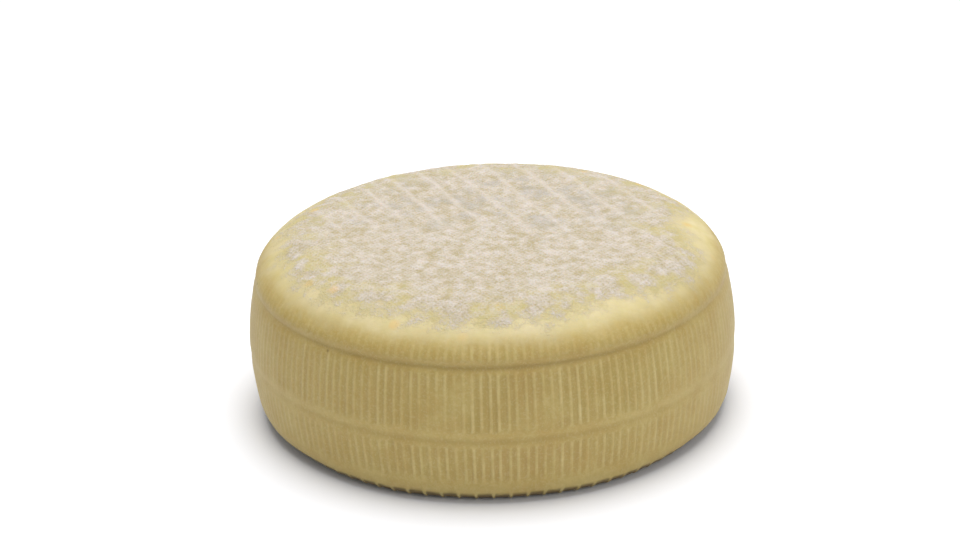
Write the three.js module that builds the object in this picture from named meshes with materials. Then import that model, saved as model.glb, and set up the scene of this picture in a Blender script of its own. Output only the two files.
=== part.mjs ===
// A wheel of semi-soft cheese, whole and uncut: one solid.
//
// It was pressed in a fluted plastic mould with two hoops, and then aged standing on one face. So its side is a
// low barrel that leans in towards the top, its foot has a small rounded edge, its top has a wide soft
// shoulder, and the hoops have left two shallow grooves round the side. Both faces are flat.
//
// The side here is the crest line of the fine vertical ribs that the mould leaves. They are a surface finish
// under a millimetre deep, and this solid leaves them out.
//
// Millimetres, +Z up. The origin is the centre of the face that the wheel stands on.

import * as THREE from "three";

// Overall size.
const DIAMETER = 250; // across the widest level, the upper lip of the lower groove
const HEIGHT = 94; // from the face it stands on to the top face

// How far the side has come in from its widest level.
const FOOT_LEAN = 3.6; // where the foot's edge starts
const SHOULDER_LEAN = 4.3; // where the shoulder starts

// The two edges, each a quarter of an ellipse.
const FOOT_RISE = 8;
const FOOT_REACH = 13;
const SHOULDER_DROP = 22;
const SHOULDER_REACH = 38.5;

// The grooves that the mould's hoops leave. The upper one lies where the shoulder starts.
const UPPER_GROOVE = { width: 6.5, depth: 1.4 };
const LOWER_GROOVE = { width: 8.5, depth: 0.9 };
const LOWER_GROOVE_HEIGHT = 35.8; // its middle, above the base

// How finely the curves are cut into facets.
const FACETS_ROUND = 80;
const STEPS = { foot: 5, lowerSide: 4, groove: 6, upperSide: 6, shoulder: 9 };

// Each groove with the levels of its middle and its two lips.
function groove({ width, depth }, middle) {
  return { width, depth, middle, lowLip: middle - width / 2, highLip: middle + width / 2 };
}

const shoulderStart = HEIGHT - SHOULDER_DROP;
const lowerGroove = groove(LOWER_GROOVE, LOWER_GROOVE_HEIGHT);
const upperGroove = groove(UPPER_GROOVE, shoulderStart);
const bellyHeight = lowerGroove.highLip;

// The radius of the barrel at a level, before the grooves are pressed in: a parabola each way from the belly.
function barrelRadius(z) {
  const above = z > bellyHeight;
  const lean = above ? SHOULDER_LEAN : FOOT_LEAN;
  const span = above ? shoulderStart - bellyHeight : bellyHeight - FOOT_RISE;
  return DIAMETER / 2 - lean * ((z - bellyHeight) / span) ** 2;
}

// The radius of the shoulder at a level: a quarter ellipse that meets the top face flat.
function shoulderRadius(z) {
  const share = (z - shoulderStart) / SHOULDER_DROP;
  return barrelRadius(shoulderStart) - SHOULDER_REACH * (1 - Math.sqrt(1 - Math.min(share, 1) ** 2));
}

// How deep the hoops have pressed at a level: each groove is one wave of a cosine, so that it has soft lips.
function pressed(z) {
  const depthIn = ({ middle, width, depth }) => {
    const share = Math.abs(z - middle) / width;
    return share < 0.5 ? (depth * (1 + Math.cos(2 * Math.PI * share))) / 2 : 0;
  };
  return depthIn(upperGroove) + depthIn(lowerGroove);
}

// A point of the outline on the side or the shoulder. LatheGeometry takes (radius, height).
function sidePoint(z) {
  const radius = z > shoulderStart ? shoulderRadius(z) : barrelRadius(z);
  return new THREE.Vector2(radius - pressed(z), z);
}

// The levels from one to another in equal steps, without the last.
function levels(from, to, steps) {
  return Array.from({ length: steps }, (_, i) => from + ((to - from) * i) / steps);
}

// The foot's edge, from the base out to the side.
function footPoints() {
  const sideRadius = barrelRadius(FOOT_RISE);
  return Array.from({ length: STEPS.foot }, (_, i) => {
    const turn = (i / STEPS.foot) * (Math.PI / 2);
    return new THREE.Vector2(
      sideRadius - FOOT_REACH * (1 - Math.sin(turn)),
      FOOT_RISE * (1 - Math.cos(turn)),
    );
  });
}

// The levels of the shoulder, closer together near the top, where it turns flat.
function shoulderLevels(from) {
  const firstTurn = Math.asin((from - shoulderStart) / SHOULDER_DROP);
  return levels(firstTurn, Math.PI / 2, STEPS.shoulder).map(
    (turn) => shoulderStart + SHOULDER_DROP * Math.sin(turn),
  );
}

function outline() {
  const sideLevels = [
    ...levels(FOOT_RISE, lowerGroove.lowLip, STEPS.lowerSide),
    ...levels(lowerGroove.lowLip, lowerGroove.highLip, STEPS.groove),
    ...levels(lowerGroove.highLip, upperGroove.lowLip, STEPS.upperSide),
    ...levels(upperGroove.lowLip, upperGroove.highLip, STEPS.groove),
    ...shoulderLevels(upperGroove.highLip),
  ];
  return [
    new THREE.Vector2(0, 0),
    ...footPoints(),
    ...sideLevels.map(sidePoint),
    new THREE.Vector2(shoulderRadius(HEIGHT), HEIGHT),
    new THREE.Vector2(0, HEIGHT),
  ];
}

function cheeseWheel() {
  const geometry = new THREE.LatheGeometry(outline(), FACETS_ROUND);
  geometry.rotateX(Math.PI / 2); // the lathe turns about Y, and the wheel stands along Z
  const rind = new THREE.MeshStandardMaterial({ color: "#d3c583", roughness: 0.6, metalness: 0 });
  const wheel = new THREE.Mesh(geometry, rind);
  wheel.name = "cheese_wheel";
  return wheel;
}

const part = new THREE.Group();
part.add(cheeseWheel());

export default part;
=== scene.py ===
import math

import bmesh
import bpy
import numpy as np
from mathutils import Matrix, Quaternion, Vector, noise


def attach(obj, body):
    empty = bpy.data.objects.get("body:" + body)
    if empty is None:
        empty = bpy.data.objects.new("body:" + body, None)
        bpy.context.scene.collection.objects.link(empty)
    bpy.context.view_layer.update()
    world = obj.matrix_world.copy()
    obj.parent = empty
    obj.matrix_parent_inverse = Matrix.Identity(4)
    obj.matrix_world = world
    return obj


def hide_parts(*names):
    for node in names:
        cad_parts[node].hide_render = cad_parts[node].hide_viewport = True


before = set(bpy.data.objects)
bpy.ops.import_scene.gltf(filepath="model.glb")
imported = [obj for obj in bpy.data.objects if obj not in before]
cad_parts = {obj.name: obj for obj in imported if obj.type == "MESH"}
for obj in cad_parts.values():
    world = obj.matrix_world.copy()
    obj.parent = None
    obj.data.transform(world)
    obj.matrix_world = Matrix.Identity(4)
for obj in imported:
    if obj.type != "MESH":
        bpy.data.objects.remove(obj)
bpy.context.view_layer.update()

# %% [markdown]
# # A wheel of semi-soft cheese
#
# The wheel is one piece, paste and rind together, pressed in a mould and aged on a shelf. Nothing on it
# moves. The frame holds its plain solid, which has the true outline and size. This lesson makes the skin
# that we see: the ribs of the fluted mould, the two grooves where the mould's hoops sat, the soft buttery
# shoulder with a painted highlight, the foot with painted contact shade, and the dull white bloom on both
# faces.

MM = 0.001  # the wheel is worked out in millimetres, and Blender's unit is a metre
CAD_NODE = "cheese_wheel"

# %% [markdown]
# ## The outline
#
# A pressed wheel is a turned shape, so everything starts from half of its section. It could be drawn again
# with arcs, but the frame already has it: the points of the CAD solid where one half of the plane Y = 0
# cuts it. Their order is found from the angle at which each is seen from the middle of the wheel's axis.
# Between the two flat faces a smooth curve is passed through them, because the CAD solid is cut into facets
# and cheese is not.

# %% The section's points, from the middle of the base round to the middle of the top
ON_PLANE = 1e-6  # metres: a point nearer than this counts as on the plane

section = {
    (round(v.co.x / MM, 3), round(v.co.z / MM, 3))
    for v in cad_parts[CAD_NODE].data.vertices
    if abs(v.co.y) < ON_PLANE and v.co.x > -ON_PLANE
}
wheel_height = max(z for _, z in section)
section = sorted(section, key=lambda p: math.atan2(p[1] - wheel_height / 2, p[0]))
curved = np.array(section[1:-1])  # without the middles of the two faces
print(len(section), "points; height", wheel_height, "mm; radius", curved[:, 0].max(), "mm")

# %% A smooth curve through them, measured along its length
gaps = np.linalg.norm(np.diff(curved, axis=0), axis=1)
chords = np.diff(curved, axis=0) / gaps[:, None]
before, after = gaps[:-1, None], gaps[1:, None]
inner_slopes = (chords[:-1] * after + chords[1:] * before) / (before + after)
slopes = np.vstack([(1, 0), inner_slopes, (-1, 0)])  # it leaves the base level, and meets the top level
lengths = np.append(0, np.cumsum(gaps))

BASE_RADIUS, TOP_RADIUS = curved[0][0], curved[-1][0]
TOP_START = BASE_RADIUS + lengths[-1]
OUTLINE_END = TOP_START + TOP_RADIUS


def outline_at(along):
    """The (radius, height) at lengths along the outline, which starts in the middle of the base."""
    along = np.asarray(along, float)
    s = np.clip(along - BASE_RADIUS, 0, lengths[-1])
    i = np.clip(np.searchsorted(lengths, s, side="right") - 1, 0, len(gaps) - 1)
    gap = gaps[i][..., None]
    t = (s - lengths[i])[..., None] / gap
    point = (
        curved[i] * (1 + 2 * t) * (1 - t) ** 2
        + curved[i + 1] * t**2 * (3 - 2 * t)
        + gap * (slopes[i] * t * (1 - t) ** 2 + slopes[i + 1] * t**2 * (t - 1))
    )
    on_base, on_top = np.minimum(along - BASE_RADIUS, 0), np.maximum(along - TOP_START, 0)
    return point + np.stack([on_base - on_top, 0 * along], axis=-1)


print("the outline is", round(OUTLINE_END, 1), "mm long; the base's flat is", BASE_RADIUS, "mm in radius")

# %% The levels of the two hoops: where the outline is pressed in
LOWER_HOOP, UPPER_HOOP = [
    here[1]
    for below, here, above in zip(curved, curved[1:], curved[2:])
    if here[0] < below[0] and here[0] < above[0]
]
print("hoops at", LOWER_HOOP, "and", UPPER_HOOP, "mm")

# %% [markdown]
# ## The blank
#
# The blank is the outline turned round the axis. Each rib needs six columns, to have two flanks and a
# rounded crest, and there are 180 ribs, so the side has 1,080 columns. That many would crowd together
# towards the middle of a face, so each face is made of rings of its own. Each has half the columns of the
# ring outside it, or a third for the innermost, and `bridge_loops` sews ring to ring. Rows are closer at the
# foot and where a hoop has pressed, and further apart where nothing changes.
#
# One `spin` with 1,080 steps would do, but each step looks through the whole mesh again, and it takes
# minutes. So only a narrow wedge is turned, and a second `spin` copies the wedge round the axis, which
# takes a second.
#
# Every point of the outline carries its length along the outline in a layer of its own. `spin` copies such
# numbers with the points, so each vertex still knows where on the outline it came from.

# %% The rows of the side
FINE_ROW, COARSE_ROW = 1.3, 4.4  # mm from one row to the next
FINE_WITHIN, COARSE_BEYOND = 5.0, 9.0  # mm from a level where something changes
FOOT_TURN = 3.0  # the level where the foot's edge turns fastest
FOOT_END = 12.0  # the level where it has turned into the side
SHOULDER_LENGTH = 45.0  # mm of outline, nearly all of the shoulder

shoulder_lengths = np.linspace(TOP_START - SHOULDER_LENGTH, TOP_START, 901)
shoulder_radii = outline_at(shoulder_lengths)[:, 0]


def on_shoulder(radius):
    """The length along the outline at which the shoulder has this radius."""
    return np.interp(radius, shoulder_radii[::-1], shoulder_lengths[::-1])


def side_rows(start, end):
    """Lengths along the outline: close together near the foot and the hoops, further apart between them."""
    rows = [start]
    while rows[-1] < end:
        level = outline_at(rows[-1])[1]
        distance = min(abs(level - special) for special in (FOOT_TURN, FOOT_END, LOWER_HOOP, UPPER_HOOP))
        share = min(max((distance - FINE_WITHIN) / (COARSE_BEYOND - FINE_WITHIN), 0), 1)
        rows.append(rows[-1] + FINE_ROW + (COARSE_ROW - FINE_ROW) * share)
    return np.interp(rows, (rows[0], rows[-1]), (start, end))


SHOULDER_SEAM = 106.0  # the radius on the shoulder where the top's own rings take over
SEAM_AT = float(on_shoulder(SHOULDER_SEAM))
print("the side has", len(side_rows(BASE_RADIUS, SEAM_AT)), "rows")

# %% The rings, from the middle of the base to the middle of the top
RIB_COUNT = 180  # a little too many: their spacing at the front, measured again, gives about 172
SIDE_COLUMNS = RIB_COUNT * 6
TOP_ROW, BASE_ROW = 1.4, 4.0  # mm from one row to the next on the faces
BASE_INNER, BASE_MIDDLE, BASE_OUTER = 12, 48, 92  # the radii where the rings of the base meet
TOP_INNER, TOP_MIDDLE, TOP_OUTER = 12, 30, 60  # and those of the top
BASE_MARGIN = 1.5  # mm between the last row of the base and the first of the side


def even_rows(start, end, gap):
    """Lengths along the outline, about this gap apart."""
    return np.linspace(start, end, max(2, round((end - start) / gap) + 1))


RINGS = [  # (columns, rows)
    (45, even_rows(0, BASE_INNER, BASE_ROW)),
    (135, even_rows(BASE_INNER + BASE_ROW, BASE_MIDDLE, BASE_ROW)),
    (270, even_rows(BASE_MIDDLE + BASE_ROW, BASE_OUTER, BASE_ROW)),
    (540, even_rows(BASE_OUTER + BASE_ROW, BASE_RADIUS - BASE_MARGIN, BASE_ROW)),
    (SIDE_COLUMNS, side_rows(BASE_RADIUS, SEAM_AT)),
    (540, even_rows(SEAM_AT + TOP_ROW, OUTLINE_END - TOP_OUTER, TOP_ROW)),
    (270, even_rows(OUTLINE_END - TOP_OUTER + TOP_ROW, OUTLINE_END - TOP_MIDDLE, TOP_ROW)),
    (135, even_rows(OUTLINE_END - TOP_MIDDLE + TOP_ROW, OUTLINE_END - TOP_INNER, TOP_ROW)),
    (45, even_rows(OUTLINE_END - TOP_INNER + TOP_ROW, OUTLINE_END, TOP_ROW)),
]
print("rows per ring:", [len(rows) for _, rows in RINGS])

# %% Turn each ring
WEDGE_COLUMNS = 3
CLOSE = 1e-3  # mm, nearer than any two points of the blank should be


def turn_ring(bm, layer, columns, rows):
    """Turns one stretch of the outline right round: a wedge first, and then copies of the wedge."""
    stations = []
    for along, (radius, height) in zip(rows, outline_at(rows)):
        stations.append(bm.verts.new((radius, 0, height)))
        stations[-1][layer] = along
    stations += [bm.edges.new(pair) for pair in zip(stations, stations[1:])]
    copies = columns // WEDGE_COLUMNS
    about = dict(cent=(0, 0, 0), axis=(0, 0, 1))
    bmesh.ops.spin(bm, geom=stations, angle=2 * math.pi / copies, steps=WEDGE_COLUMNS, **about)
    wedge = bm.verts[:] + bm.edges[:] + bm.faces[:]
    bmesh.ops.spin(bm, geom=wedge, angle=2 * math.pi, steps=copies, use_duplicate=True, **about)
    bmesh.ops.remove_doubles(bm, verts=bm.verts, dist=CLOSE)


blank = bmesh.new()
for columns, rows in RINGS:
    ring = bmesh.new()
    turn_ring(ring, ring.verts.layers.float.new("along"), columns, rows)
    ring_mesh = bpy.data.meshes.new("ring")
    ring.to_mesh(ring_mesh)
    ring.free()
    blank.from_mesh(ring_mesh)
    bpy.data.meshes.remove(ring_mesh)
print(len(RINGS), "rings,", len(blank.verts), "vertices")

# %% Sew the rings together
along_layer = blank.verts.layers.float["along"]
rims = {}
for edge in blank.edges:
    if edge.is_boundary:
        rims.setdefault(round(edge.verts[0][along_layer], 2), []).append(edge)
for (_, rows), (_, next_rows) in zip(RINGS, RINGS[1:]):
    facing = rims[round(float(rows[-1]), 2)] + rims[round(float(next_rows[0]), 2)]
    bmesh.ops.bridge_loops(blank, edges=facing)
bmesh.ops.recalc_face_normals(blank, faces=blank.faces)
open_edges = sum(1 for edge in blank.edges if not edge.is_manifold)
print(len(blank.verts), "vertices,", len(blank.faces), "faces,", open_edges, "open edges")

wheel_mesh = bpy.data.meshes.new("cheese_wheel_rind")
blank.to_mesh(wheel_mesh)
blank.free()

# %% [markdown]
# ## What the mould did
#
# The mould's flutes left narrow ridges with wider valleys between them, in three belts that the two hoops
# keep apart. The ribs are real shape here and not only shading, because they are deep enough to break the
# wheel's outline. The crest of each rib is the CAD solid's own surface, and the valleys are pressed in from
# it. Here every second rib runs on over the foot. On the real wheel every rib seems to come down almost as
# far, and every second one only a little further.
#
# Since then the ribs have been rubbed down, here and there a little, and almost away at the left and the
# right, most likely by hands and shelves. So each rib's depth is the mould's, times what the wear has left.
#
# Everything that follows works on whole arrays of vertices at once. `along` says where a vertex sits on the
# outline, and `bearing` how far round the wheel it is: 0 at the front, and growing towards the right.

# %% Where each vertex is
count = len(wheel_mesh.vertices)
places = np.empty(count * 3)
wheel_mesh.vertices.foreach_get("co", places)
places = places.reshape(-1, 3)
along = np.empty(count)
wheel_mesh.attributes["along"].data.foreach_get("value", along)
bearing = np.arctan2(places[:, 0], -places[:, 1])
degrees = np.degrees(bearing)
level = places[:, 2].copy()
print("bearings from", round(degrees.min()), "to", round(degrees.max()), "degrees")


# %% Three helpers: a soft step, noise of a known size, and a hump
def soft_step(low, high, x):
    """0 below the one and 1 above the other, with a soft rise between them."""
    t = np.clip((x - low) / (high - low), 0, 1)
    return t * t * (3 - 2 * t)


def grain(where, size, seed, octaves=3, stretch=(1, 1, 1)):
    """Fractal noise, about -1 to 1, at the chosen vertices. Its patches are about `size` mm."""
    values = np.zeros(count)
    offset = Vector((17.3 * seed, -5.1 * seed, 9.7 * seed))
    for i, place in zip(np.flatnonzero(where), places[where] / (np.array(stretch) * size)):
        values[i] = noise.fractal(Vector(place) + offset, 1.0, 2.0, octaves)
    return values


def hump(x, middle, width):
    """1 in the middle and soft on both sides: a third of it is left this width away."""
    return np.exp(-(((x - middle) / width) ** 2))


# %% The belts of ribs
LOWER_BELT = (13.0, LOWER_HOOP - 4.3)  # (lowest level, highest level)
MIDDLE_BELT = (LOWER_HOOP + 4.6, UPPER_HOOP - 2.6)
UPPER_BELT = (UPPER_HOOP + 3.3, 81.5)
UPPER_STRENGTH = 0.75  # the shoulder took the flutes less well
BELT_RAG = 1.2  # mm that the ends of a belt stray up and down

on_side = (along > BASE_RADIUS - 3) & (along < SEAM_AT + 2)
rag = grain(on_side, 7, seed=2, octaves=2, stretch=(1, 1, 6))


def belt(low, high, fade_low=1.8, fade_high=1.8):
    """1 in the belt and 0 outside it, with ends that are a little ragged."""
    z = level + rag * BELT_RAG
    rises = soft_step(low - fade_low / 2, low + fade_low / 2, z)
    return rises * (1 - soft_step(high - fade_high / 2, high + fade_high / 2, z))


belts = belt(*LOWER_BELT, fade_low=6.0) + belt(*MIDDLE_BELT)
belts += belt(*UPPER_BELT, fade_high=5.0) * UPPER_STRENGTH
print("vertices on ribs:", int((belts > 0.5).sum()))

# %% Where the ribs have been rubbed down
RUBBED = [  # (bearing, level, degrees wide, mm high)
    (-14, 50, 6, 12),
    (60, 42, 9, 9),
    (24, 80, 14, 6),
    (58, 80, 22, 7),
    (-45, 80, 30, 8),
]
HANDLED = [(-85, 42), (80, 36)]  # (bearing, degrees wide), where hands have held it
WORN_MOST, RUBBED_MOST, HANDLED_MOST = 0.6, 0.7, 0.82  # the share of a rib that each can take away

wear = grain(on_side, 24, seed=1, octaves=3)
rubbed = soft_step(0.15, 0.6, wear) * WORN_MOST
for at, height, wide, high in RUBBED:
    rubbed = np.maximum(rubbed, hump(degrees, at, wide) * hump(level, height, high) * RUBBED_MOST)
handled = sum(hump(degrees, at, wide) for at, wide in HANDLED)
rubbed = np.maximum(rubbed, handled * HANDLED_MOST)
print("rubbed to less than half:", int((on_side & (rubbed > 0.5)).sum()), "vertices")

# %% The shape of a rib, from side to side
RIB_START = math.radians(-1)  # the bearing of rib 0
COLUMN = (0, 1 / 6, 1 / 3, 1 / 2)  # where the columns stand, in pitches from the crest

phase = (bearing - RIB_START) * RIB_COUNT / (2 * math.pi)
rib = np.round(phase).astype(int) % RIB_COUNT
across = phase - np.round(phase)  # 0 on the crest, and half a pitch away in the middle of the valleys
crest_shape = np.interp(abs(across), COLUMN, (1, 0.88, 0.1, 0))
slid = np.sign(across) * np.interp(abs(across), COLUMN, (0, 0.1, 0.22, 0.5))  # narrow crests, wide valleys
print("ribs every", round(curved[:, 0].max() * 2 * math.pi / RIB_COUNT, 2), "mm")

# %% How far each vertex is pressed in, and how far it slides sideways
RIB_HEIGHT = 0.6  # mm, from valley to crest
FOOT_RIB_HEIGHT = 0.5

random = np.random.default_rng(4)
rib_strength = random.uniform(0.55, 1.0, RIB_COUNT)[rib]
rib_shift = random.uniform(-0.07, 0.07, RIB_COUNT)[rib]
ribbed = belts * (1 - rubbed) * rib_strength
sideways = soft_step(20, 60, abs(degrees)) * (1 - soft_step(115, 155, abs(degrees)))  # neither front nor back
over_foot = (rib % 2 == 0) * soft_step(BASE_RADIUS - 1, BASE_RADIUS + 3, along) * (1 - 0.75 * sideways)
foot_crest = crest_shape * over_foot
foot_zone = on_side * (1 - soft_step(4, 7, level))

phase_moved = phase + (slid - across + rib_shift * (crest_shape > 0)) * np.clip(belts + foot_zone, 0, 1)
bearing_moved = RIB_START + phase_moved * 2 * math.pi / RIB_COUNT
pressed = RIB_HEIGHT * (1 - crest_shape) * ribbed
pressed += FOOT_RIB_HEIGHT * (1 - foot_crest) * foot_zone * soft_step(0, 0.6, level)
print("pressed in by up to", round(pressed.max(), 2), "mm")

# %% [markdown]
# ## What ageing did
#
# A cheese is never quite true. It has sagged a little, its foot has spread under its weight, the hoops'
# grooves have nearly gone where it has been held, and mould has grown over both faces in a thin felt with a
# ragged edge. The large unevenness and the thicker clumps of bloom are shape, because a raking light shows
# them. The finer grain is left to the material.

# %% How far inside the edge of the bloom each vertex is, in mm
BLOOM_RADIUS = 106.0
BASE_BARE = 12.0  # mm of the base that the bloom leaves bare
TONGUES = [(63, 5.5, 12), (92, -13, 9), (31, -3, 8), (-30, -2, 8)]  # (bearing, mm outwards, degrees wide)
faces_zone = (along < BASE_RADIUS + 6) | (along > SEAM_AT - 16)
ragged = grain(faces_zone, 15, seed=6, octaves=4) * 4.5

edge_radius = BLOOM_RADIUS + sum(reach * hump(degrees, at, wide) for at, reach, wide in TONGUES)
on_top = along - on_shoulder(edge_radius) + ragged
on_base = BASE_RADIUS - BASE_BARE - along + ragged
bloom = np.maximum(on_top, on_base)
print("bloom covers", round(100 * float((bloom > 0).mean())), "% of the vertices")

# %% Clumps of bloom, and the wheel's own unevenness
CLUMP_HEIGHT = 0.3  # mm

clumps = grain(bloom > -4, 4.6, seed=7, octaves=3)
raised = CLUMP_HEIGHT * soft_step(-1, 3, bloom) * soft_step(-0.1, 0.6, clumps) * (along > BASE_RADIUS)
everywhere = np.ones(count, bool)
unevenness = 0.3 * grain(everywhere, 110, seed=3, octaves=2) + 0.16 * grain(everywhere, 22, seed=5, octaves=3)
unevenness *= soft_step(BASE_RADIUS, BASE_RADIUS + 12, along)  # the base lies flat on the shelf
print("clumps up to", round(raised.max(), 2), "mm high")

# %% The spread foot, and the grooves that handling has filled
FOOT_BULGE = 1.2  # mm
GROOVES = [(UPPER_HOOP, 6.5, 1.4), (LOWER_HOOP, 8.5, 0.9)]  # (level, mm wide, mm deep)
GROOVE_FILL = 0.75  # the share of a groove's depth that has gone where it has been held most

spread = 1 - 1.6 * sideways  # outwards at the front and the back, and a little inwards at the sides
settled = FOOT_BULGE * soft_step(0, 2.5, level) * (1 - soft_step(5, 11, level)) * spread
unevenness += settled * (along < SEAM_AT)
for at, wide, deep in GROOVES:
    turn = 2 * math.pi * np.clip((level - at) / wide, -0.5, 0.5)
    unevenness += GROOVE_FILL * handled * deep * (0.5 + 0.5 * np.cos(turn)) * on_side
print("unevenness from", round(unevenness.min(), 2), "to", round(unevenness.max(), 2), "mm")

# %% Lines that the slats of the draining mat left, on the back half of the top and on the base
SLAT_GAP, SLAT_LINE = 17.0, 1.5  # mm from line to line, and half the width of a line
SLAT_TURN = math.radians(24)
SLAT_RELIEF = 0.3  # mm

over_slats = places[:, 0] * math.cos(SLAT_TURN) + places[:, 1] * math.sin(SLAT_TURN)
over_slats += 2.0 * grain(bloom > -4, 28, seed=8, octaves=3)
from_line = (over_slats / SLAT_GAP + 0.5) % 1 - 0.5
behind = soft_step(-20, 30, places[:, 1] + 18 * grain(bloom > -4, 40, seed=9, octaves=2))
is_base = along < BASE_RADIUS
slat_zone = np.where(is_base, 1, behind) * soft_step(3, 9, bloom)
slats = hump(from_line * SLAT_GAP, 0, SLAT_LINE) * slat_zone
raised += np.where(is_base, SLAT_RELIEF * (slats - slat_zone), SLAT_RELIEF * slats)
print("slat lines", SLAT_GAP, "mm apart")

# %% Move the vertices, in or out along the outline's own normal
STEP = 0.05  # mm each way, to find how the outline runs

run = outline_at(along + STEP) - outline_at(along - STEP)
run /= np.linalg.norm(run, axis=1)[:, None]
outwards = np.stack([run[:, 1], -run[:, 0]], axis=1)
shift = raised + unevenness - pressed
radius, height = (outline_at(along) + outwards * shift[:, None]).T
moved = np.stack([radius * np.sin(bearing_moved), -radius * np.cos(bearing_moved), height], axis=1)
wheel_mesh.vertices.foreach_set("co", (moved * MM).ravel())
wheel_mesh.shade_smooth()
wheel_mesh.update()
print("moved by", round(shift.min(), 2), "to", round(shift.max(), 2), "mm")

# %% [markdown]
# ## What the material can read
#
# The material needs to know more than the place of a point: whether it is on a crest or in a valley, and
# how far inside the bloom it is. These could be worked out again with nodes, but the ribs are worn by
# chance, so only the numbers that shaped them can say where they are. They are written on the vertices as
# attributes.


# %% Numbers on the vertices
def write_attribute(name, values):
    """Keeps one number for each vertex on the mesh, under this name."""
    layer = wheel_mesh.attributes.new(name, "FLOAT", "POINT")
    layer.data.foreach_set("value", np.asarray(values, np.float32))


rib_colour = random.uniform(0.35, 1.0, RIB_COUNT)[rib]
# Painted shade in the grooves of the two hoops, faded where hands have filled them.
upper_groove_shade = hump(level, UPPER_HOOP, 2.6) * on_side
lower_groove_shade = hump(level, LOWER_HOOP - 1.3, 1.6) * on_side  # darkest a little under its middle
# Crests are paler for dust and a painted highlight, valleys darker for damp and painted shade.
write_attribute("crest_dust_and_highlight", crest_shape * np.maximum(ribbed * rib_colour, foot_crest * foot_zone))
write_attribute("valley_damp_and_shade", (1 - crest_shape) * ribbed * (0.5 + 0.5 * rib_colour))
write_attribute("bloom", bloom)
write_attribute("clumps", clumps)
write_attribute("slats", slats)
write_attribute("slat_zone", slat_zone * (1 - slats))
# The hoops attribute holds the painted shade of the grooves.
write_attribute("hoops", (upper_groove_shade + 0.5 * lower_groove_shade) * (1 - 0.9 * handled))
# The shoulder's band: butter colour with a painted highlight, and where the orange spots grow.
write_attribute("rim", soft_step(80, 88, level + rag * 1.5))
# Painted shade, darker towards the bottom where the foot curves under.
write_attribute("foot", 1 - soft_step(1, FOOT_END, level))
# Painted contact shade along the bottom edge, left off the ticks of the ribs.
write_attribute("contact_shade", (1 - 0.9 * foot_crest) * (1 - soft_step(4.8, 6.6, level + 0.7 * rag)))
wheel_mesh.attributes.remove(wheel_mesh.attributes["along"])  # it has served its purpose

wheel = bpy.data.objects.new("cheese_wheel_rind", wheel_mesh)
bpy.context.scene.collection.objects.link(wheel)
print("triangles:", sum(len(p.vertices) - 2 for p in wheel_mesh.polygons))


# %% [markdown]
# ## A flat map of the skin
#
# Other programs cannot read patterns that are worked out from a place on the wheel, so the colours have to
# be baked into an image for them, and that needs the skin laid out flat. Smart UV Project could do it, but it
# would cut the skin into many small pieces, and where to cut a wheel is plain: the two faces are laid out as
# discs, and the side as four strips. All six have the same scale.

# %% Two discs and four strips
MAP_SIZE, MAP_GAP = 450.0, 6.0  # mm
STRIPS = 4

side_radius = curved[:, 0].max()
top_reach = OUTLINE_END - SEAM_AT
strip_width = 2 * math.pi * side_radius / STRIPS
strip_height = SEAM_AT - BASE_RADIUS
disc_row = 2 * BASE_RADIUS + MAP_GAP
print("each strip is", round(strip_width, 1), "mm long and", round(strip_height, 1), "mm wide")

# %% Which disc or strip each face of the mesh lies in
loop_vertex = np.empty(len(wheel_mesh.loops), int)
wheel_mesh.loops.foreach_get("vertex_index", loop_vertex)
face_size = np.empty(len(wheel_mesh.polygons), int)
wheel_mesh.polygons.foreach_get("loop_total", face_size)
face_first = np.append(0, np.cumsum(face_size)[:-1])


def face_mean(values):
    """The mean of a number over each face's corners, given back at every corner."""
    return np.repeat(np.add.reduceat(values[loop_vertex], face_first) / face_size, face_size)


mean_along = face_mean(along)
mean_bearing = np.arctan2(face_mean(np.sin(bearing)), face_mean(np.cos(bearing)))
strip = np.floor((mean_bearing + math.pi) / (2 * math.pi) * STRIPS).clip(0, STRIPS - 1)
strip_middle = (strip + 0.5) * 2 * math.pi / STRIPS - math.pi
corner_bearing, corner_along = bearing[loop_vertex], along[loop_vertex]
in_strip = (corner_bearing - strip_middle + math.pi) % (2 * math.pi) - math.pi
on_face = [mean_along < BASE_RADIUS, mean_along > SEAM_AT]
print("corners on the base and on the top:", [int(part.sum()) for part in on_face])

# %% Lay them out
side_u = MAP_GAP / 2 + strip_width / 2 + (strip % 2) * (strip_width + MAP_GAP) + in_strip * side_radius
side_v = MAP_GAP / 2 + disc_row + (strip // 2) * (strip_height + MAP_GAP) + corner_along - BASE_RADIUS
top_u = MAP_GAP / 2 + top_reach + (OUTLINE_END - corner_along) * np.sin(corner_bearing)
top_v = MAP_GAP / 2 + top_reach - (OUTLINE_END - corner_along) * np.cos(corner_bearing)
base_u = 1.5 * MAP_GAP + 2 * top_reach + BASE_RADIUS - corner_along * np.sin(corner_bearing)
base_v = MAP_GAP / 2 + BASE_RADIUS - corner_along * np.cos(corner_bearing)

flat_u = np.select(on_face, [base_u, top_u], side_u)
flat_v = np.select(on_face, [base_v, top_v], side_v)
flat = np.stack([flat_u, flat_v], axis=1)
bake_map = wheel_mesh.uv_layers.new(name="OFBake")
bake_map.data.foreach_set("uv", (flat / MAP_SIZE).ravel().astype(np.float32))
print("the map uses", np.round(flat.min(axis=0), 1), "to", np.round(flat.max(axis=0), 1), "mm of", MAP_SIZE)

# %% [markdown]
# ## The rind
#
# One material covers the wheel, because it is one skin. Its colour is built in the order in which it came
# about: the waxy rind as it left the press, then what handling and the shelf did to it, and last the mould
# that grew over both faces. Every pattern is read at its own place on the wheel, at a scale worked out from
# mm, so it has no seams, and it keeps its size if the wheel's changes.
#
# Fresh rind is fat and protein pressed against smooth plastic. It gives the eye a soft yellow that light
# enters a little way, with a dull sheen where it is bare. The felt over it is dry and scatters all the
# light that meets it.

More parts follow.
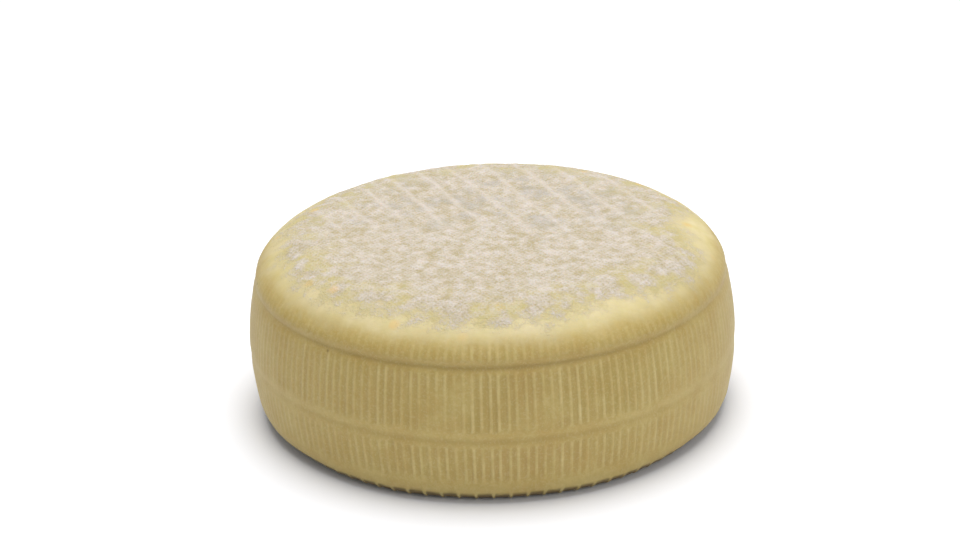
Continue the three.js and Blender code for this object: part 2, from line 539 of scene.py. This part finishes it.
# %% Colours, and one function that adds a node
NOISE, MATH, MIX, RANGE = "ShaderNodeTexNoise", "ShaderNodeMath", "ShaderNodeMix", "ShaderNodeMapRange"
TIMES, PLUS, COLOURS = {"operation": "MULTIPLY"}, {"operation": "ADD"}, {"data_type": "RGBA"}


def colour(hex_code):
    """An sRGB hex value as the linear colour that Blender works in."""
    channels = [int(hex_code[i : i + 2], 16) / 255 for i in (1, 3, 5)]
    return [c / 12.92 if c <= 0.04045 else ((c + 0.055) / 1.055) ** 2.4 for c in channels] + [1]


def add(kind, inputs=(), out=None, **settings):
    """Adds a node and returns one of its outputs. Inputs go by name or in order: values or other outputs."""
    node = tree.nodes.new(kind)
    for name, value in settings.items():
        setattr(node, name, value)
    sockets = [socket for socket in node.inputs if socket.enabled]
    if isinstance(inputs, dict):
        sockets = [next(socket for socket in sockets if socket.name == name) for name in inputs]
        inputs = inputs.values()
    for socket, value in zip(sockets, inputs):
        if isinstance(value, bpy.types.NodeSocket):
            tree.links.new(value, socket)
        else:
            socket.default_value = value
    outputs = [socket for socket in node.outputs if socket.enabled]
    return next((socket for socket in outputs if socket.name == out), outputs[0])


rind = bpy.data.materials.new("pressed_natural_rind_with_white_bloom")
rind.use_nodes = True
tree = rind.node_tree
shader = tree.nodes["Principled BSDF"]
wheel_mesh.materials.append(rind)
print("material:", rind.name)

# %% What the material reads
place = add("ShaderNodeTexCoord", out="Object")
READ = ("crest_dust_and_highlight", "valley_damp_and_shade", "bloom", "clumps", "slats", "slat_zone", "hoops", "rim", "foot", "contact_shade")
crest_dust_and_highlight, valley_damp_and_shade, bloom_depth, clump, slat, recess, hoop_groove_shade, rim, foot, contact_shade = [
    add("ShaderNodeAttribute", out="Fac", attribute_name=name) for name in READ
]
print("read from the vertices:", ", ".join(READ))

# %% [markdown]
# ## The colour of the side
#
# The side is tan to golden in patches as wide as a thumb. The valleys of the ribs keep more moisture, so
# they are olive and brown in upright streaks, and the crests are dry, pale and dusty; on top of that the
# valleys carry painted shade and the crests a painted highlight. The grooves of the hoops get a painted
# brown shade, the foot a painted grey shade and a dark painted contact shade at its edge, and the shoulder
# is the colour of butter with a painted highlight. One noise for all of these would make them look printed,
# so there are patterns of several sizes.


# %% Patterns of the side, each stretched to run from 0 to 1
# The grain of the dust and the mottling is finer on a real rind, and is drawn as coarse as it needs to show.
def per_metre(size):
    """The scale that makes a texture's patches about this many mm."""
    return 1 / (size * MM)


patches = add(NOISE, {"Vector": place, "Scale": per_metre(16), "Detail": 4.0, "Roughness": 0.6})
patches = add(RANGE, {"Value": patches, "From Min": 0.36, "From Max": 0.64})
mottle = add(NOISE, {"Vector": place, "Scale": per_metre(2.6), "Detail": 3.0, "Roughness": 0.6})
mottle = add(RANGE, {"Value": mottle, "From Min": 0.38, "From Max": 0.62})
broad = add(NOISE, {"Vector": place, "Scale": per_metre(40), "Detail": 2.0})
broad = add(RANGE, {"Value": broad, "From Min": 0.36, "From Max": 0.64})
upright = add("ShaderNodeMapping", {"Vector": place, "Scale": (1, 1, 0.16)})
streaks = add(NOISE, {"Vector": upright, "Scale": per_metre(2.4), "Detail": 3.0, "Roughness": 0.7})
streaks = add(RANGE, {"Value": streaks, "From Min": 0.36, "From Max": 0.64})
dust = add(NOISE, {"Vector": place, "Scale": per_metre(1.1), "Detail": 2.0, "Roughness": 0.6})
dust = add(RANGE, {"Value": dust, "From Min": 0.5, "From Max": 0.68})
print("patterns made, with", len(tree.nodes), "nodes so far")

# %% The side: waxy, darker in the valleys with painted shade, paler on the crests with dust and painted highlight
SIDE_TAN, SIDE_GOLD = colour("#BAA565"), colour("#B29856")
OLIVE_MOTTLE_AND_VALLEY_SHADE, VALLEY_DAMP_AND_SHADE_BROWN = colour("#A38F49"), colour("#A6894C")
CREST_PALE_AND_HIGHLIGHT = colour("#CDBC84")
GROOVE_SHADE_BROWN = colour("#9F8448")
RIM_BUTTER_AND_HIGHLIGHT, RIM_GREEN = colour("#D1C397"), colour("#C6B87C")
FOOT_SHADE_GREY, FOOT_CONTACT_SHADE = colour("#9F9163"), colour("#5A4927")
DUST_WHITE = colour("#D1C49A")

side = add(MIX, (patches, SIDE_TAN, SIDE_GOLD), **COLOURS)
# Painted shade darkens the valleys along with their damp colour, and a painted highlight lightens the crests
# along with their dust.
valley_damp_and_shade_share = add(MATH, (valley_damp_and_shade, add(RANGE, {"Value": streaks, "To Min": 0.45, "To Max": 1.0})), **TIMES)
side = add(MIX, (valley_damp_and_shade_share, side, add(MIX, (broad, OLIVE_MOTTLE_AND_VALLEY_SHADE, VALLEY_DAMP_AND_SHADE_BROWN), **COLOURS)), **COLOURS)
crest_dust_and_highlight_share = add(MATH, (crest_dust_and_highlight, add(RANGE, {"Value": patches, "To Min": 0.85, "To Max": 0.4})), **TIMES)
side = add(MIX, (crest_dust_and_highlight_share, side, CREST_PALE_AND_HIGHLIGHT), **COLOURS)
# Painted brown shade in the grooves of the hoops.
side = add(MIX, (add(MATH, (hoop_groove_shade, 0.55), **TIMES), side, GROOVE_SHADE_BROWN), **COLOURS)
side = add(MIX, (add(MATH, (mottle, 0.3), **TIMES), side, OLIVE_MOTTLE_AND_VALLEY_SHADE), **COLOURS)
side = add(MIX, (add(MATH, (dust, 0.16), **TIMES), side, DUST_WHITE), **COLOURS)
# Painted grey shade, darker towards the bottom of the foot.
side = add(MIX, (add(MATH, (foot, 0.5), **TIMES), side, FOOT_SHADE_GREY), **COLOURS)
# Painted dark brown contact shade at the bottom edge.
side = add(MIX, (add(MATH, (contact_shade, 0.9), **TIMES), side, FOOT_CONTACT_SHADE), **COLOURS)
# The shoulder is butter-coloured, and paler still with a painted highlight.
side = add(MIX, (rim, side, add(MIX, (patches, RIM_BUTTER_AND_HIGHLIGHT, RIM_GREEN), **COLOURS)), **COLOURS)
print("the side's colour is mixed, with", len(tree.nodes), "nodes so far")

# %% [markdown]
# ## Pits and spots
#
# A few gas holes have broken through the rind as small brown pits, and a few orange spots of another mould
# grow near the edge of the bloom. They could be modelled one by one, but they are too small to show as
# shape. A Voronoi texture scatters them: it has one point in each cell, and a dot is drawn round some of
# the points.

# %% Pits and spots
PIT_SPACING, SPOT_SPACING = 17.0, 16.0  # mm from one cell to the next
PIT_CHANCE, SPOT_CHANCE = 0.35, 0.42  # the share of the cells that has one
PIT_SIZE, SPOT_SIZE = 1.0, 3.8  # mm in radius
PIT_BROWN, SPOT_ORANGE = colour("#7D6A38"), colour("#D0AC62")


def dots(spacing, size, chance):
    """1 in small round dots, one in some of the cells of a grid of this spacing, and 0 elsewhere."""
    cell = dict(inputs={"Vector": place, "Scale": per_metre(spacing)}, feature="F1")
    distance = add("ShaderNodeTexVoronoi", out="Distance", **cell)
    lot = add("ShaderNodeSeparateColor", [add("ShaderNodeTexVoronoi", out="Color", **cell)], out="Red")
    chosen = add(MATH, (lot, chance), operation="LESS_THAN")
    edge = size / spacing
    dot = add(RANGE, {"Value": distance, "From Min": edge, "From Max": edge * 0.4})
    return add(MATH, (chosen, dot), **TIMES)


pits = dots(PIT_SPACING, PIT_SIZE, PIT_CHANCE)
spots = dots(SPOT_SPACING, SPOT_SIZE, SPOT_CHANCE)
side = add(MIX, (add(MATH, (pits, 0.6), **TIMES), side, PIT_BROWN), **COLOURS)
print("pits and spots are made, with", len(tree.nodes), "nodes so far")

# %% [markdown]
# ## The bloom
#
# Mould grows over the faces as a thin dry felt, off-white where it is thick, and beige where the rind shows
# through. It took the weave of the cloth or mat that the wheel drained on. A white layer with a clean edge
# would look like paint, so its depth is a number that rises inwards from the edge, and two sizes of noise
# fray it.

# %% Patterns of the felt
# A draining cloth has a thread every millimetre or so, and the felt's own hairs are finer still. Neither
# would show, so both are drawn coarser.
WEAVE = 2.3  # mm between threads


def threads(turned):
    """Soft stripes across the wheel, one thread apart, turned by this many degrees and a little wavy."""
    across = add("ShaderNodeMapping", {"Vector": place, "Rotation": (0, 0, math.radians(turned))})
    scale = per_metre(WEAVE) * math.pi / 10  # a wave texture's stripes are pi / 10 apart at scale 1
    inputs = {"Vector": across, "Scale": scale, "Distortion": 6.0, "Detail": 2.0, "Detail Scale": 1.2}
    return add("ShaderNodeTexWave", inputs, out="Fac", bands_direction="X")


lumps = add(NOISE, {"Vector": place, "Scale": per_metre(6), "Detail": 4.0, "Roughness": 0.6})
fuzz = add(NOISE, {"Vector": place, "Scale": per_metre(1.3), "Detail": 3.0, "Roughness": 0.65})
blotches = add(NOISE, {"Vector": place, "Scale": per_metre(11), "Detail": 3.0, "Roughness": 0.55})
weave = add(MATH, (threads(38), threads(-38)), operation="MAXIMUM")
print("threads", WEAVE, "mm apart")

# %% Where the felt lies
ragged_edge = add(RANGE, {"Value": lumps, "From Min": 0.3, "From Max": 0.7, "To Min": -5.0, "To Max": 5.0})
frayed_edge = add(RANGE, {"Value": fuzz, "From Min": 0.3, "From Max": 0.7, "To Min": -3.5, "To Max": 3.5})
rough_depth = add(MATH, (bloom_depth, ragged_edge), **PLUS)
depth = add(MATH, (rough_depth, frayed_edge), **PLUS)
cover = add(RANGE, {"Value": depth, "From Min": -6.0, "From Max": 8.0}, interpolation_type="SMOOTHSTEP")
print("the edge of the felt is placed, with", len(tree.nodes), "nodes so far")

# %% The felt's own colour
FELT_WHITE, FELT_BEIGE, FELT_GREY = colour("#C1B8B0"), colour("#A19476"), colour("#969390")
FELT_THIN = colour("#B4A76C")

near_edge = add(RANGE, {"Value": depth, "From Min": 34.0, "From Max": 4.0})
thin = add(MATH, (near_edge, add(RANGE, {"Value": blotches, "From Min": 0.46, "From Max": 0.6})), **TIMES)
white = add(MATH, (add(MATH, (lumps, 0.9), **TIMES), add(MATH, (clump, 0.3), **TIMES)), **PLUS)
fine_white = add(MATH, (add(MATH, (weave, 0.2), **TIMES), add(MATH, (fuzz, 1.08), **TIMES)), **PLUS)
white = add(MATH, (white, fine_white), **PLUS)
white = add(RANGE, {"Value": white, "From Min": 0.8, "From Max": 1.45})
felt = add(MIX, (white, FELT_BEIGE, FELT_WHITE), **COLOURS)
grey_share = add(MATH, (recess, add(RANGE, {"Value": blotches, "From Min": 0.46, "From Max": 0.66})), **TIMES)
felt = add(MIX, (add(MATH, (grey_share, 0.45), **TIMES), felt, FELT_GREY), **COLOURS)
felt = add(MIX, (add(MATH, (slat, 0.6), **TIMES), felt, FELT_WHITE), **COLOURS)
felt = add(MIX, (add(MATH, (thin, 0.75), **TIMES), felt, FELT_THIN), **COLOURS)
print("the felt's colour is mixed, with", len(tree.nodes), "nodes so far")

# %% The side, then a dusting of bloom, the felt, and the orange spots in the open skin at its edge
RIM_DUSTED = colour("#B8AA7F")

dusting = add(RANGE, {"Value": rough_depth, "From Min": -16.0, "From Max": 0.0, "To Max": 0.65})
side = add(MIX, (dusting, side, RIM_DUSTED), **COLOURS)
skin = add(MIX, (add(MATH, (cover, 0.94), **TIMES), side, felt), **COLOURS)
open_skin = add(MATH, (rim, add(RANGE, {"Value": depth, "From Min": 16.0, "From Max": 6.0})), **TIMES)
spot_share = add(MATH, (add(MATH, (spots, open_skin), **TIMES), 0.5), **TIMES)
skin = add(MIX, (spot_share, skin, SPOT_ORANGE), **COLOURS)
tree.links.new(skin, shader.inputs["Base Color"])
print("the skin's colour is linked, with", len(tree.nodes), "nodes so far")

# %% [markdown]
# ## Shine and finest relief
#
# Bare rind has a dull sheen, and the felt has none, so the roughness follows the felt. Light goes a few mm
# into cheese and comes out warmer, which subsurface scattering does. What is finer than the mesh, such as
# the skin's grain, the pits and the fuzz of the felt, is bump: it would take millions of faces as shape.

# %% Shine and relief
SIDE_ROUGHNESS, FELT_ROUGHNESS = 0.55, 0.95
GRAIN_RELIEF, FELT_RELIEF = 0.12 * MM, 0.5 * MM
LIGHT_DEPTH = 4 * MM

rough = add(RANGE, {"Value": cover, "To Min": SIDE_ROUGHNESS, "To Max": FELT_ROUGHNESS})
tree.links.new(rough, shader.inputs["Roughness"])
shader.inputs["Subsurface Weight"].default_value = 0.15
shader.inputs["Subsurface Radius"].default_value = (1.0, 0.6, 0.25)  # red light goes furthest
shader.inputs["Subsurface Scale"].default_value = LIGHT_DEPTH
shader.inputs["IOR"].default_value = 1.45  # as fat and wax have

skin_grain = add(NOISE, {"Vector": place, "Scale": per_metre(1.6), "Detail": 4.0, "Roughness": 0.6})
grain_height = add(MATH, (skin_grain, add(MATH, (pits, -2.0), **TIMES)), **PLUS)
fine = add("ShaderNodeBump", {"Height": grain_height, "Strength": 0.8, "Distance": GRAIN_RELIEF})
felt_height = add(MATH, (add(MATH, (add(MATH, (weave, 0.5), **TIMES), fuzz), **PLUS), cover), **TIMES)
felt_inputs = {"Height": felt_height, "Strength": 0.7, "Distance": FELT_RELIEF, "Normal": fine}
felt_bump = add("ShaderNodeBump", felt_inputs)
tree.links.new(felt_bump, shader.inputs["Normal"])
print("the rind's material has", len(tree.nodes), "nodes")

# %% [markdown]
# ## The floor
#
# The wheel stands on matt white paper that runs on past the view. Paper is rough and nearly white, so it
# gives the eye nothing to look at, and it throws light back up at the side.

# %% Floor
FLOOR_SIZE = 60.0  # metres

bm = bmesh.new()
bmesh.ops.create_grid(bm, x_segments=1, y_segments=1, size=FLOOR_SIZE / 2)
floor_mesh = bpy.data.meshes.new("floor")
bm.to_mesh(floor_mesh)
bm.free()
floor = bpy.data.objects.new("floor", floor_mesh)
bpy.context.scene.collection.objects.link(floor)
paper = bpy.data.materials.new("matt_white_backdrop_paper")
paper.use_nodes = True
paper_shader = paper.node_tree.nodes["Principled BSDF"]
paper_shader.inputs["Base Color"].default_value = colour("#F3F4F8")
paper_shader.inputs["Roughness"].default_value = 0.9
floor_mesh.materials.append(paper)
print("floor", FLOOR_SIZE, "m wide")

# %% [markdown]
# ## The lights
#
# One large, soft light overhead makes the top bright, and leaves the side to what the floor throws back, so
# the only shadow is a soft one at the foot. A weak light from the front right lifts that side of the wheel.
# A lamp that is large for its distance has no hard edge to its shadow, so both are soft boxes. The white
# world fills what they leave.

# %% Lights
WHEEL_MIDDLE = Vector((0, 0, wheel_height * MM / 2))


def soft_box(name, where, size, watts):
    """A round soft light that faces the middle of the wheel. Its place and size are in metres."""
    light = bpy.data.lights.new(name, "AREA")
    light.shape, light.size, light.energy = "DISK", size, watts
    lamp = bpy.data.objects.new(name, light)
    lamp.location = where
    lamp.rotation_mode = "QUATERNION"
    lamp.rotation_quaternion = (WHEEL_MIDDLE - lamp.location).to_track_quat("-Z", "Y")
    bpy.context.scene.collection.objects.link(lamp)
    print(name, "is", round(lamp.location.length, 2), "m away, at", watts, "W")


soft_box("overhead_soft_box", (0.03, 0.22, 1.5), size=1.5, watts=28.2)
soft_box("front_fill", (1.0, -1.7, 1.2), size=1.2, watts=8)

world = bpy.data.worlds.new("studio")
bpy.context.scene.world = world
world.use_nodes = True
world.node_tree.nodes["Background"].inputs["Color"].default_value = colour("#FFFFFF")
world.node_tree.nodes["Background"].inputs["Strength"].default_value = 0.4

# %% [markdown]
# ## The camera
#
# A long lens from a step away looks a little down at the wheel, so the side and the top both show, and the
# far edge of the top is not much smaller than the near one. It is aimed above the wheel, which leaves room
# over it.

# %% Camera
CAMERA_DISTANCE = 1.5  # metres
CAMERA_ELEVATION = math.radians(23.86)
CAMERA_ROLL = math.radians(-1.85)
LENS, SENSOR = 108.95, 36.0  # mm
TARGET_HEIGHT = 47.5 * MM  # about half way up the wheel
AIM_LEFT, AIM_ABOVE = 5.5 * MM, 22.25 * MM  # the wheel stands low in the view, a little to the right

towards_camera = Vector((0, -math.cos(CAMERA_ELEVATION), math.sin(CAMERA_ELEVATION)))
view_right = Vector((1, 0, 0))
view_up = towards_camera.cross(view_right)
target = Vector((0, 0, TARGET_HEIGHT))
camera_data = bpy.data.cameras.new("camera")
camera_data.lens, camera_data.sensor_width = LENS, SENSOR
camera = bpy.data.objects.new("camera", camera_data)
camera.location = target + CAMERA_DISTANCE * towards_camera
aim = target - AIM_LEFT * view_right + AIM_ABOVE * view_up
camera.rotation_mode = "QUATERNION"
facing = (aim - camera.location).to_track_quat("-Z", "Y")
camera.rotation_quaternion = facing @ Quaternion((0, 0, 1), CAMERA_ROLL)
bpy.context.scene.collection.objects.link(camera)
bpy.context.scene.camera = camera
bpy.context.scene.view_settings.view_transform = "Standard"
print("camera at", [round(c, 3) for c in camera.location])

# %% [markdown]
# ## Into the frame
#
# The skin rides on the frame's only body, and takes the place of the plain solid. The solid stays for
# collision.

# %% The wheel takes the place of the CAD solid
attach(wheel, "root")
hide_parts(CAD_NODE)
